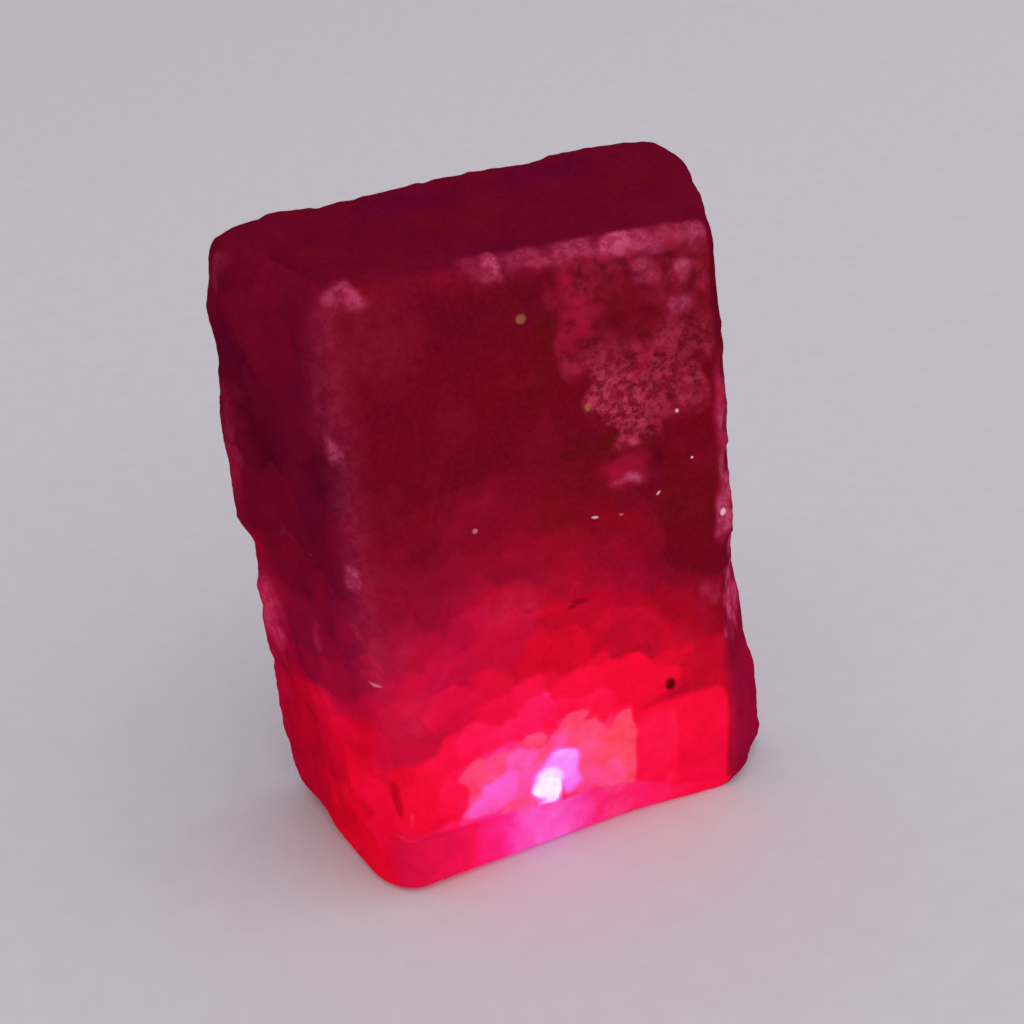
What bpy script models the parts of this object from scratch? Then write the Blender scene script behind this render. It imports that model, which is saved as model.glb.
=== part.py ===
"""A raw ruby crystal: one stout block of corundum, standing on its flat end.

Millimetres are used for every size below and turned into metres when the mesh is made.
The block stands with +Z up, its broad front looks along -Y and its narrow sides look along X.
Run it with: blender --background --python part.py
"""

import bmesh
import bpy
import numpy as np

METRES = 0.001

# The eight corners that the block would have if no edge were worn: x, y, z.
FRONT_LEFT_BASE = (-11.9, -9.5, 0.0)
FRONT_RIGHT_BASE = (12.5, -4.0, 0.0)
BACK_LEFT_BASE = (-16.6, 7.6, 0.0)
BACK_RIGHT_BASE = (16.3, 2.5, 0.0)
FRONT_LEFT_TOP = (-11.3, -6.3, 41.6)
FRONT_RIGHT_TOP = (12.4, -4.7, 40.8)
BACK_LEFT_TOP = (-16.8, 7.2, 41.5)
BACK_RIGHT_TOP = (13.8, 8.1, 42.6)

# Half the mean size of the block, which turns a radius into a share of each side.
HALF_SIZE = np.array([14.2, 6.8, 20.8])

# How far the four upright edges are worn round.
FRONT_LEFT_WEAR = 2.8
FRONT_RIGHT_WEAR = 1.2
BACK_LEFT_WEAR = 1.6
BACK_RIGHT_WEAR = 4.4

# How far the edges round the top and the base are worn.
TOP_FRONT_LEFT_WEAR = 2.9
TOP_FRONT_RIGHT_WEAR = 1.3
TOP_BACK_WEAR = 1.0
BASE_WEAR = 0.9
BASE_BACK_LEFT_WEAR = 2.6

# Edges bent further than this stay sharp in the shading.
SHARP_ANGLE = np.radians(32.0)

# Squares along the width, the depth and the height of the block.
GRID = (28, 15, 42)


def smooth_step(value, start, end):
    """0 up to start, 1 from end on, and an even S between them."""
    t = np.clip((value - start) / (end - start), 0.0, 1.0)
    return t * t * (3.0 - 2.0 * t)


def lumps(points, size, seed):
    """A field of soft lumps, about -1 to 1, made of thirty waves that cross at random angles."""
    draw = np.random.default_rng(seed)
    ways = draw.normal(size=(30, 3))
    ways /= np.linalg.norm(ways, axis=1)[:, None]
    lengths = size * draw.uniform(0.7, 1.8, 30)
    starts = draw.uniform(0.0, 2.0 * np.pi, 30)
    return np.sin(points @ (ways * (2.0 * np.pi / lengths)[:, None]).T + starts).sum(axis=1) / 5.5


def shells(points, size, seed):
    """Shell-like hollows that meet in low sharp ridges, as on broken stone: 1 on a ridge, about -1 in a hollow."""
    return 1.0 - 2.0 * np.abs(lumps(points, size, seed))


def outline(square):
    """A square's outline with its four corners rounded, each by its own wear, and the way out of it."""
    right = smooth_step(square[:, 0], -0.4, 0.4)
    back = smooth_step(square[:, 1], -0.5, 0.5)
    wear = (1.0 - right) * (1.0 - back) * FRONT_LEFT_WEAR + right * (1.0 - back) * FRONT_RIGHT_WEAR
    wear += (1.0 - right) * back * BACK_LEFT_WEAR + right * back * BACK_RIGHT_WEAR
    share = wear[:, None] / HALF_SIZE[:2]
    core = np.clip(square, share - 1.0, 1.0 - share)
    way = (square - core) / share
    way /= np.linalg.norm(way, axis=1)[:, None]
    return core + way * share, way


def edge_wear(square, height):
    """How far the edge above or below each point of the outline is worn."""
    right = (1.0 + square[:, 0]) / 2.0
    back = smooth_step(square[:, 1], 0.5, 1.0)
    top = (1.0 - right) * TOP_FRONT_LEFT_WEAR + right * TOP_FRONT_RIGHT_WEAR
    top += (TOP_BACK_WEAR - top) * back * smooth_step(square[:, 0], -1.0, -0.7)
    corner = smooth_step(square[:, 1], -0.3, 0.5) * smooth_step(-square[:, 0], 0.4, 0.9)
    base = BASE_WEAR + (BASE_BACK_LEFT_WEAR - BASE_WEAR) * corner
    return np.where(height > 0.0, top, base)


def worn_cube(cube):
    """The cube's surface with its edges rounded, and the way out of it at each point.

    A point is read as a place on the square outline, a reach out from the middle and a height.
    The outline is rounded first, and then reach and height are rounded where they meet."""
    reach = np.abs(cube[:, :2]).max(axis=1)
    square = np.where(reach[:, None] > 0.0, cube[:, :2] / np.maximum(reach, 1e-9)[:, None], (1.0, 0.0))
    rim, way = outline(square)
    wear = edge_wear(square, cube[:, 2])
    reach_share = wear / (rim * way * HALF_SIZE[:2]).sum(axis=1)
    height_share = wear / HALF_SIZE[2]
    core_reach = np.minimum(reach, 1.0 - reach_share)
    core_height = np.clip(cube[:, 2], height_share - 1.0, 1.0 - height_share)
    out = (reach - core_reach) / reach_share
    up = (cube[:, 2] - core_height) / height_share
    length = np.hypot(out, up)
    out, up = out / length, up / length
    worn = rim * (core_reach + out * reach_share)[:, None]
    height = core_height + up * height_share
    return np.column_stack([worn, height]), np.column_stack([way * out[:, None], up])


def stretched(cube):
    """Points of the cube carried into the block by blending its eight corners."""
    left, right = (1.0 - cube[:, 0]) / 2.0, (1.0 + cube[:, 0]) / 2.0
    front, back = (1.0 - cube[:, 1]) / 2.0, (1.0 + cube[:, 1]) / 2.0
    low, high = (1.0 - cube[:, 2]) / 2.0, (1.0 + cube[:, 2]) / 2.0
    shares = (
        (left * front * low, FRONT_LEFT_BASE),
        (right * front * low, FRONT_RIGHT_BASE),
        (left * back * low, BACK_LEFT_BASE),
        (right * back * low, BACK_RIGHT_BASE),
        (left * front * high, FRONT_LEFT_TOP),
        (right * front * high, FRONT_RIGHT_TOP),
        (left * back * high, BACK_LEFT_TOP),
        (right * back * high, BACK_RIGHT_TOP),
    )
    return sum(share[:, None] * np.array(corner) for share, corner in shares)


def scoop(across, up, centre, size, depth):
    """A shallow bowl-shaped chip: deepest in the middle, with a crisp rim."""
    reach = ((across - centre[0]) / size[0]) ** 2 + ((up - centre[1]) / size[1]) ** 2
    return -depth * np.sqrt(np.clip(1.0 - reach, 0.0, None))


# Chips on the front, high on the right: where (x, z), half size, depth.
FRONT_CHIPS = (
    ((4.9, 38.2), (3.0, 2.4), 0.30),
    ((8.6, 38.4), (3.4, 2.6), 0.34),
    ((4.6, 34.6), (2.9, 2.3), 0.38),
    ((8.2, 34.4), (3.0, 2.6), 0.30),
    ((11.2, 35.2), (2.4, 3.2), 0.36),
    ((5.9, 31.0), (2.6, 2.4), 0.42),
    ((9.3, 31.0), (2.5, 2.5), 0.36),
    ((6.9, 28.7), (2.2, 1.6), 0.34),
    ((6.5, 26.0), (2.0, 1.2), 0.42),
)


def front_relief(x, z):
    """The front is smooth and a little crowned, with a patch of shell-like chips at its upper right."""
    crown = 0.35 * (1.0 - (x / 13.0) ** 2) * smooth_step(z, 0.0, 8.0)
    chips = np.zeros_like(x)
    for centre, size, depth in FRONT_CHIPS:
        chips = np.minimum(chips, scoop(x, z, centre, size, depth))
    return crown + chips


def left_relief(y, z):
    """The left side is broken: a trough runs down it, with a ledge and a lower ridge across its end,
    and a groove runs beside the front edge."""
    trough_y = 3.0 - 5.5 * smooth_step(-z, -32.0, -16.0)
    trough = -0.75 * np.exp(-(((y - trough_y) / 2.6) ** 2))
    trough *= smooth_step(z, 13.0, 21.0) * (1.0 - smooth_step(z, 31.0, 37.0))
    ledge = 21.9 - 0.15 * y + 0.5 * np.sin(0.9 * y)
    upper = 0.85 * smooth_step(z, ledge - 0.8, ledge + 1.8) * (1.0 - smooth_step(z, 25.0, 37.5))
    upper *= smooth_step(y, -5.0, 3.0)
    crown = 0.90 * np.exp(-(((z - 35.3) / 3.8) ** 2))
    belly = 0.30 * np.exp(-(((z - 12.0) / 5.0) ** 2))
    foot = -0.40 * (1.0 - smooth_step(z, 1.5, 8.0))
    ridge = 0.30 * np.exp(-(((z - 16.6) / 1.0) ** 2)) - 0.20 * np.exp(-(((z - 14.2) / 1.3) ** 2))
    groove = -0.35 * np.exp(-(((y + 6.3) / 0.8) ** 2)) * smooth_step(z, 10.0, 12.5)
    groove *= 1.0 - smooth_step(z, 20.5, 23.0)
    return trough + upper + crown + belly + foot + ridge * smooth_step(y, -3.0, 2.0) + groove


def right_relief(y, z):
    """The right side swells at its cheek, shoulder and foot, draws in at its waist above the foot,
    and is nicked along its front edge."""
    foot = 0.70 * (1.0 - smooth_step(z, 4.0, 14.0)) * smooth_step(z, -2.0, 1.5)
    cheek = 0.5 * np.exp(-(((z - 30.0) / 7.0) ** 2))
    shoulder = 0.3 * np.exp(-(((z - 20.8) / 2.4) ** 2))
    waist = -0.2 * np.exp(-(((z - 8.6) / 1.8) ** 2))
    nicks = np.zeros_like(y)
    for up, size, depth in ((30.6, 1.3, 0.35), (27.3, 1.0, 0.3), (24.7, 1.2, 0.25), (18.6, 1.0, 0.3)):
        nicks = np.minimum(nicks, scoop(y, z, (-5.2, up), (2.6, size), depth))
    return foot + cheek + shoulder + waist + nicks


def back_relief(x, z):
    """The back has broad shell-like breaks that meet in low ridges, and one slanting growth step."""
    breaks = np.minimum(
        scoop(x, z, (-6.0, 13.0), (11.0, 13.0), 1.3),
        scoop(x, z, (7.5, 27.0), (8.5, 14.0), 1.0),
    )
    breaks = np.minimum(breaks, scoop(x, z, (-9.0, 33.0), (7.0, 7.5), 0.8))
    step = 0.45 * smooth_step(z + 0.5 * x, 17.0, 18.6) * (1.0 - smooth_step(z + 0.5 * x, 24.0, 34.0))
    return breaks + step


def top_relief(x, y):
    """The top dips a little towards its middle and has three nicks along its back edge."""
    dip = -0.40 * (1.0 - (x / 14.0) ** 2)
    nicks = np.zeros_like(x)
    for across, size in ((-8.0, 1.6), (-1.5, 1.2), (5.5, 1.5)):
        nicks = np.minimum(nicks, scoop(x, y, (across, 6.4), (size, 1.8), 0.22))
    return dip + nicks


def shaped(cube):
    """Every surface point of the block in millimetres, with its relief; the base stays flat."""
    rounded, way = worn_cube(cube)
    points = stretched(rounded)
    x, y, z = points.T
    front, back = np.clip(-way[:, 1], 0.0, None) ** 2, np.clip(way[:, 1], 0.0, None) ** 2
    left, right = np.clip(-way[:, 0], 0.0, None) ** 2, np.clip(way[:, 0], 0.0, None) ** 2
    top, base = np.clip(way[:, 2], 0.0, None) ** 2, np.clip(-way[:, 2], 0.0, None) ** 2
    relief = front * front_relief(x, z) + back * back_relief(x, z)
    relief += left * left_relief(y, z) + right * right_relief(y, z) + top * top_relief(x, y)
    relief += (0.38 * back + 0.22 * left + 0.16 * right) * shells(points, 13.0, 3)
    relief += (0.10 * back + 0.10 * left + 0.07 * right + 0.05 * top) * shells(points, 5.0, 8)
    relief += (0.04 * front + 0.06 * top) * lumps(points, 9.0, 5)
    relief *= smooth_step(z, 0.0, 1.6) * (1.0 - base)
    return front_bevel(points + way * relief[:, None])


# The bevel along the foot of the front: its height, and how far it goes in at the base.
BEVEL_HEIGHT = 4.9
BEVEL_DEPTH = 1.3


def front_bevel(points):
    """Leans the lowest stretch of the front inwards to the base, and less so towards the right."""
    x, y, z = points.T
    fade = 1.0 - 0.6 * smooth_step(x, 4.0, 12.0)
    near = smooth_step(-y, -1.0, 3.0)
    lean = np.clip(1.0 - z / BEVEL_HEIGHT, 0.0, 1.0) * BEVEL_DEPTH * fade * near
    return np.stack([x, y + lean, z], axis=1)


def divided_cube():
    """A cube from -1 to 1 cut into a grid on every side, a little closer towards its edges."""
    mesh = bmesh.new()
    bmesh.ops.create_cube(mesh, size=2.0)
    for axis, pieces in enumerate(GRID):
        along = [
            edge for edge in mesh.edges
            if abs(edge.verts[0].co[axis] - edge.verts[1].co[axis]) > 1.0
        ]
        bmesh.ops.subdivide_edges(mesh, edges=along, cuts=pieces - 1, use_grid_fill=True)
    for vertex in mesh.verts:
        vertex.co = [0.65 * along + 0.35 * np.sin(along * np.pi / 2.0) for along in vertex.co]
    return mesh


def ruby_material():
    """Deep wine-red stone with a waxy, worn skin."""
    material = bpy.data.materials.new("ruby_stone")
    material.use_nodes = True
    shader = material.node_tree.nodes["Principled BSDF"]
    shader.inputs["Base Color"].default_value = (0.17, 0.004, 0.022, 1.0)
    shader.inputs["Roughness"].default_value = 0.45
    shader.inputs["Metallic"].default_value = 0.0
    shader.inputs["IOR"].default_value = 1.76
    return material


def ruby_crystal(collection):
    """The whole stone, standing on its base with the middle of its footprint at the origin."""
    mesh = divided_cube()
    cube = np.array([vertex.co[:] for vertex in mesh.verts])
    points = shaped(cube)
    middle = (points.max(axis=0) + points.min(axis=0)) / 2.0
    middle[2] = points[:, 2].min()
    for vertex, place in zip(mesh.verts, (points - middle) * METRES):
        vertex.co = place
    bmesh.ops.recalc_face_normals(mesh, faces=mesh.faces)
    data = bpy.data.meshes.new("ruby_crystal")
    mesh.to_mesh(data)
    mesh.free()
    data.shade_smooth()
    data.set_sharp_from_angle(angle=SHARP_ANGLE)
    data.materials.append(ruby_material())
    stone = bpy.data.objects.new("ruby_crystal", data)
    collection.objects.link(stone)
    return stone


for leftover in list(bpy.data.objects):
    bpy.data.objects.remove(leftover)
parts = bpy.data.collections.new("raw_ruby_crystal")
bpy.context.scene.collection.children.link(parts)
ruby_crystal(parts)
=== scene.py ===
import bpy
import numpy as np
from mathutils import Matrix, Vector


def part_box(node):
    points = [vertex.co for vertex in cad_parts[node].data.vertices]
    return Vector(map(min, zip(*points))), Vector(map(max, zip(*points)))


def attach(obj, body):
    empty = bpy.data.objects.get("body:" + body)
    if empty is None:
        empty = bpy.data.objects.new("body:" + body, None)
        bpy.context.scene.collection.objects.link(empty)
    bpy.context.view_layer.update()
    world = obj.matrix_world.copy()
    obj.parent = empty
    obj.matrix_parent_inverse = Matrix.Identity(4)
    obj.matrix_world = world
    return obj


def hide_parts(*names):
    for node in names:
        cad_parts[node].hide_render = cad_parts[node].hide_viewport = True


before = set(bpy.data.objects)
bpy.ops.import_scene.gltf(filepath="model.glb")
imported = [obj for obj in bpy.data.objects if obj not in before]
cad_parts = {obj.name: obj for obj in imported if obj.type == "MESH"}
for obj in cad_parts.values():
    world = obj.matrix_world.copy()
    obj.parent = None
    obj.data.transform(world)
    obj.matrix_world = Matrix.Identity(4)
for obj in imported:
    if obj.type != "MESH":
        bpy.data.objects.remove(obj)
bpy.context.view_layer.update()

# ---------------------------------------------------------------------------------------------
# The stone's body: one block of ruby, broken and worn, standing on its flat end.
# It is a solid natural crystal with nothing joined to it. Its surface is worked out on the
# six sides of a unit cube, which are stretched between the block's eight corners in millimetres.
# ---------------------------------------------------------------------------------------------

METRES = 0.001

# The eight corners that the block would have if no edge were worn: x, y, z in millimetres.
FRONT_LEFT_BASE = (-11.9, -9.5, 0.0)
FRONT_RIGHT_BASE = (12.5, -4.0, 0.0)
BACK_LEFT_BASE = (-16.6, 7.6, 0.0)
BACK_RIGHT_BASE = (16.3, 2.5, 0.0)
FRONT_LEFT_TOP = (-11.3, -6.3, 41.6)
FRONT_RIGHT_TOP = (12.4, -4.7, 40.8)
BACK_LEFT_TOP = (-16.8, 7.2, 41.5)
BACK_RIGHT_TOP = (13.8, 8.1, 42.6)

# Half the mean size of the block, which turns a radius into a share of each side.
HALF_SIZE = np.array([14.2, 6.8, 20.8])

# How far the four upright edges are worn round.
FRONT_LEFT_WEAR = 2.8
FRONT_RIGHT_WEAR = 1.2
BACK_LEFT_WEAR = 1.6
BACK_RIGHT_WEAR = 4.4

# How far the edges round the top and the base are worn.
TOP_FRONT_LEFT_WEAR = 2.9
TOP_FRONT_RIGHT_WEAR = 1.3
TOP_BACK_WEAR = 1.0
BASE_WEAR = 0.9
BASE_BACK_LEFT_WEAR = 2.6

# Squares along the width, the depth and the height: cells of about a fifth of a millimetre.
GRID = (160, 48, 196)


def smooth_step(value, start, end):
    """0 up to start, 1 from end on, and 3 t^2 - 2 t^3 between them."""
    t = np.clip((value - start) / (end - start), 0.0, 1.0)
    return t * t * (3.0 - 2.0 * t)


def bell(value, middle, width):
    """1 at the middle, and e to the power of minus the square of the distance in widths."""
    return np.exp(-(((value - middle) / width) ** 2))


def lumps(points, size, seed):
    """The sum of the sines of thirty plane waves at random angles, with lengths near size: about -1
    to 1."""
    draw = np.random.default_rng(seed)
    ways = draw.normal(size=(30, 3))
    ways /= np.linalg.norm(ways, axis=1)[:, None]
    lengths = size * draw.uniform(0.7, 1.8, 30)
    starts = draw.uniform(0.0, 2.0 * np.pi, 30)
    return np.sin(points @ (ways * (2.0 * np.pi / lengths)[:, None]).T + starts).sum(axis=1) / 5.5


def shells(points, size, seed):
    """1 less twice the distance of the lumps from zero: hollows that meet in sharp low ridges."""
    return 1.0 - 2.0 * np.abs(lumps(points, size, seed))


def outline(square):
    """A square's outline: each corner is an arc of its own wear, and the way out is the arc's
    radius. Gives the points and their ways out."""
    right = smooth_step(square[:, 0], -0.4, 0.4)
    back = smooth_step(square[:, 1], -0.5, 0.5)
    wear = (1.0 - right) * (1.0 - back) * FRONT_LEFT_WEAR + right * (1.0 - back) * FRONT_RIGHT_WEAR
    wear += (1.0 - right) * back * BACK_LEFT_WEAR + right * back * BACK_RIGHT_WEAR
    share = wear[:, None] / HALF_SIZE[:2]
    core = np.clip(square, share - 1.0, 1.0 - share)
    way = (square - core) / share
    way /= np.linalg.norm(way, axis=1)[:, None]
    return core + way * share, way


def edge_wear(square, height):
    """The wear of the edge over or under each point of the outline, blended from side to side."""
    right = (1.0 + square[:, 0]) / 2.0
    back = smooth_step(square[:, 1], 0.5, 1.0)
    top = (1.0 - right) * TOP_FRONT_LEFT_WEAR + right * TOP_FRONT_RIGHT_WEAR
    top += (TOP_BACK_WEAR - top) * back * smooth_step(square[:, 0], -1.0, -0.7)
    corner = smooth_step(square[:, 1], -0.3, 0.5) * smooth_step(-square[:, 0], 0.4, 0.9)
    base = BASE_WEAR + (BASE_BACK_LEFT_WEAR - BASE_WEAR) * corner
    return np.where(height > 0.0, top, base)


def worn_cube(cube):
    """Each point is a place on the outline, a reach from the middle and a height; reach and height
    are rounded where they meet, as the outline's corners are. Gives the points and their ways out."""
    reach = np.abs(cube[:, :2]).max(axis=1)
    square = np.where(reach[:, None] > 0.0, cube[:, :2] / np.maximum(reach, 1e-9)[:, None], (1.0, 0.0))
    rim, way = outline(square)
    wear = edge_wear(square, cube[:, 2])
    reach_share = wear / (rim * way * HALF_SIZE[:2]).sum(axis=1)
    height_share = wear / HALF_SIZE[2]
    core_reach = np.minimum(reach, 1.0 - reach_share)
    core_height = np.clip(cube[:, 2], height_share - 1.0, 1.0 - height_share)
    out = (reach - core_reach) / reach_share
    up = (cube[:, 2] - core_height) / height_share
    length = np.hypot(out, up)
    out, up = out / length, up / length
    worn = rim * (core_reach + out * reach_share)[:, None]
    height = core_height + up * height_share
    return np.column_stack([worn, height]), np.column_stack([way * out[:, None], up])


def stretched(cube):
    """The eight corners, each times its share of the point: the product of (1 - u)/2 or (1 + u)/2."""
    left, right = (1.0 - cube[:, 0]) / 2.0, (1.0 + cube[:, 0]) / 2.0
    front, back = (1.0 - cube[:, 1]) / 2.0, (1.0 + cube[:, 1]) / 2.0
    low, high = (1.0 - cube[:, 2]) / 2.0, (1.0 + cube[:, 2]) / 2.0
    shares = (
        (left * front * low, FRONT_LEFT_BASE),
        (right * front * low, FRONT_RIGHT_BASE),
        (left * back * low, BACK_LEFT_BASE),
        (right * back * low, BACK_RIGHT_BASE),
        (left * front * high, FRONT_LEFT_TOP),
        (right * front * high, FRONT_RIGHT_TOP),
        (left * back * high, BACK_LEFT_TOP),
        (right * back * high, BACK_RIGHT_TOP),
    )
    return sum(share[:, None] * np.array(corner) for share, corner in shares)


def scoop(across, up, centre, size, depth):
    """A chip as half an ellipsoid: depth times the root of 1 - (u/a)^2 - (v/b)^2, and 0 outside."""
    reach = ((across - centre[0]) / size[0]) ** 2 + ((up - centre[1]) / size[1]) ** 2
    return -depth * np.sqrt(np.clip(1.0 - reach, 0.0, None))


# Chips on the front, high on the right: where (x, z), half size, depth.
FRONT_CHIPS = (
    ((4.9, 38.2), (3.0, 2.4), 0.30),
    ((8.6, 38.4), (3.4, 2.6), 0.34),
    ((4.6, 34.6), (2.9, 2.3), 0.38),
    ((8.2, 34.4), (3.0, 2.6), 0.30),
    ((11.2, 35.2), (2.4, 3.2), 0.36),
    ((5.9, 31.0), (2.6, 2.4), 0.42),
    ((9.3, 31.0), (2.5, 2.5), 0.36),
    ((6.9, 28.7), (2.2, 1.6), 0.34),
    ((6.5, 26.0), (2.0, 1.2), 0.42),
)


def front_relief(x, z):
    """A crown of 1 - (x/13)^2, less the deepest chip at each point."""
    crown = 0.35 * (1.0 - (x / 13.0) ** 2) * smooth_step(z, 0.0, 8.0)
    chips = np.zeros_like(x)
    for centre, size, depth in FRONT_CHIPS:
        chips = np.minimum(chips, scoop(x, z, centre, size, depth))
    return crown + chips


def left_relief(y, z):
    """A bell-shaped trough that drifts forward as it goes down, a ledge that steps in at its foot,
    bell-shaped swells above and below it, a ridge over a hollow, and an upright groove."""
    trough_y = 3.0 - 5.5 * smooth_step(-z, -32.0, -16.0)
    trough = -0.75 * bell(y, trough_y, 2.6)
    trough *= smooth_step(z, 13.0, 21.0) * (1.0 - smooth_step(z, 31.0, 37.0))
    ledge = 21.9 - 0.15 * y + 0.5 * np.sin(0.9 * y)
    upper = 0.85 * smooth_step(z, ledge - 0.8, ledge + 1.8) * (1.0 - smooth_step(z, 25.0, 37.5))
    upper *= smooth_step(y, -5.0, 3.0)
    crown = 0.90 * bell(z, 35.3, 3.8)
    belly = 0.30 * bell(z, 12.0, 5.0)
    foot = -0.40 * (1.0 - smooth_step(z, 1.5, 8.0))
    ridge = 0.30 * bell(z, 16.6, 1.0) - 0.20 * bell(z, 14.2, 1.3)
    groove = -0.35 * bell(y, -6.3, 0.8) * smooth_step(z, 10.0, 12.5)
    groove *= 1.0 - smooth_step(z, 20.5, 23.0)
    return trough + upper + crown + belly + foot + ridge * smooth_step(y, -3.0, 2.0) + groove


# Nicks in the front edge of the right side: height, half length, depth.
EDGE_NICKS = ((30.6, 1.3, 0.35), (27.3, 1.0, 0.3), (24.7, 1.2, 0.25), (18.6, 1.0, 0.3))


def right_relief(y, z):
    """A foot that steps out, bell-shaped swells at the cheek and shoulder, a bell-shaped waist that
    draws in above the foot, and four nicks cut into the front edge."""
    foot = 0.70 * (1.0 - smooth_step(z, 4.0, 14.0)) * smooth_step(z, -2.0, 1.5)
    cheek = 0.5 * bell(z, 30.0, 7.0)
    shoulder = 0.3 * bell(z, 20.8, 2.4)
    waist = -0.2 * bell(z, 8.6, 1.8)
    nicks = np.zeros_like(y)
    for up, size, depth in EDGE_NICKS:
        nicks = np.minimum(nicks, scoop(y, z, (-5.2, up), (2.6, size), depth))
    return foot + cheek + shoulder + waist + nicks


# Wide scoops in the back: where (x, z), half size, depth.
BACK_SCOOPS = (
    ((-6.0, 13.0), (11.0, 13.0), 1.3),
    ((7.5, 27.0), (8.5, 14.0), 1.0),
    ((-9.0, 33.0), (7.0, 7.5), 0.8),
)


def back_relief(x, z):
    """The deepest scoop at each point, with low ridges between them, and a step along the slanting
    line z + x/2."""
    breaks = np.zeros_like(x)
    for centre, size, depth in BACK_SCOOPS:
        breaks = np.minimum(breaks, scoop(x, z, centre, size, depth))
    step = 0.45 * smooth_step(z + 0.5 * x, 17.0, 18.6) * (1.0 - smooth_step(z + 0.5 * x, 24.0, 34.0))
    return breaks + step


# Nicks in the back edge of the top: place along x, half length.
TOP_NICKS = ((-8.0, 1.6), (-1.5, 1.2), (5.5, 1.5))


def top_relief(x, y):
    """A dip of 1 - (x/14)^2 and three nicks along the back edge."""
    dip = -0.40 * (1.0 - (x / 14.0) ** 2)
    nicks = np.zeros_like(x)
    for across, size in TOP_NICKS:
        nicks = np.minimum(nicks, scoop(x, y, (across, 6.4), (size, 1.8), 0.22))
    return dip + nicks


# The bevel along the foot of the front, in millimetres.
BEVEL_HEIGHT = 4.9
BEVEL_DEPTH = 1.3


def front_bevel(points):
    """Moves the lowest stretch of the front back by 1 - z / height times the depth, less on the
    right."""
    x, y, z = points.T
    fade = 1.0 - 0.6 * smooth_step(x, 4.0, 12.0)
    near = smooth_step(-y, -1.0, 3.0)
    lean = np.clip(1.0 - z / BEVEL_HEIGHT, 0.0, 1.0) * BEVEL_DEPTH * fade * near
    return np.stack([x, y + lean, z], axis=1)


def chip_patch(x, z):
    """How far a point is inside the rough patch of chips: 1 well inside any chip, and 0 outside
    them all."""
    inside = np.zeros_like(x)
    for centre, size, _ in FRONT_CHIPS:
        reach = np.hypot((x - centre[0]) / size[0], (z - centre[1]) / size[1])
        inside = np.maximum(inside, 1.0 - smooth_step(reach, 0.75, 1.05))
    return inside


def shaped(cube):
    """The block in millimetres: corners, wear, the relief of each side, broad shells and a fine
    grain, with a flat base. Gives the points, and how far each one belongs to each side."""
    rounded, way = worn_cube(cube)
    points = stretched(rounded)
    x, y, z = points.T
    front, back = np.clip(-way[:, 1], 0.0, None) ** 2, np.clip(way[:, 1], 0.0, None) ** 2
    left, right = np.clip(-way[:, 0], 0.0, None) ** 2, np.clip(way[:, 0], 0.0, None) ** 2
    top, base = np.clip(way[:, 2], 0.0, None) ** 2, np.clip(-way[:, 2], 0.0, None) ** 2
    relief = front * front_relief(x, z) + back * back_relief(x, z)
    relief += left * left_relief(y, z) + right * right_relief(y, z) + top * top_relief(x, y)
    relief += (0.38 * back + 0.22 * left + 0.16 * right) * shells(points, 13.0, 3)
    relief += (0.10 * back + 0.10 * left + 0.07 * right + 0.05 * top) * shells(points, 5.0, 8)
    relief += (0.04 * front + 0.06 * top) * lumps(points, 9.0, 5)
    edge = 1.0 - np.max([front, back, left, right, top, base], axis=0)
    patch = chip_patch(x, z) * front
    grain = 0.030 * (back + left + right) + 0.012 * top + 0.07 * patch + 0.025 * edge
    relief += grain * shells(points, 1.9, 21) + 0.5 * grain * shells(points, 0.9, 34)
    relief *= smooth_step(z, 0.0, 1.6) * (1.0 - base)
    sides = {"front": front, "back": back, "left": left, "right": right, "top": top, "base": base}
    return front_bevel(points + way * relief[:, None]), sides


# How strongly the lines of squares close up towards the block's edges, and towards its foot.
EDGE_CLOSING = 0.35
FOOT_CLOSING = 0.12

# Points of two sides are one point if they are the same in steps of one over this.
WELD_STEPS = 1e6


def cube_surface(counts):
    """Grids of squares on a cube's six sides, with the shared edges welded. The even places t become
    (1 - c) t + c sin(t pi/2) with c the edge closing, and heights go down by (1 - t^2) times the
    foot closing. Gives the points and the four corners of each square."""
    places, squares, first = [], [], 0
    for axis in range(3):
        u_axis, v_axis = (axis + 1) % 3, (axis + 2) % 3
        u = np.linspace(-1.0, 1.0, counts[u_axis] + 1)
        v = np.linspace(-1.0, 1.0, counts[v_axis] + 1)
        number = np.arange(u.size * v.size).reshape(u.size, v.size)
        ring = [number[:-1, :-1], number[1:, :-1], number[1:, 1:], number[:-1, 1:]]
        for side in (-1.0, 1.0):
            grid = np.empty((u.size, v.size, 3))
            grid[..., axis] = side
            grid[..., u_axis], grid[..., v_axis] = np.meshgrid(u, v, indexing="ij")
            places.append(grid.reshape(-1, 3))
            turned = ring if side > 0 else ring[::-1]
            squares.append(first + np.stack(turned, axis=-1).reshape(-1, 4))
            first += number.size
    places = np.concatenate(places)
    key = np.round(places * WELD_STEPS).astype(np.int64)
    _, keep, weld = np.unique(key, axis=0, return_index=True, return_inverse=True)
    places = places[keep]
    places = (1.0 - EDGE_CLOSING) * places + EDGE_CLOSING * np.sin(places * np.pi / 2.0)
    places[:, 2] -= FOOT_CLOSING * (1.0 - places[:, 2] ** 2)
    return places, weld.reshape(-1)[np.concatenate(squares)]


def quad_mesh(name, points, quads):
    """A mesh of squares from arrays of points in metres and of four corners a face."""
    data = bpy.data.meshes.new(name)
    data.vertices.add(len(points))
    data.vertices.foreach_set("co", points.astype(np.float32).ravel())
    data.loops.add(quads.size)
    data.loops.foreach_set("vertex_index", quads.astype(np.int32).ravel())
    data.polygons.add(len(quads))
    data.polygons.foreach_set("loop_start", np.arange(0, quads.size, 4, dtype=np.int32))
    data.update(calc_edges=True)
    data.shade_smooth()
    return data


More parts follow.
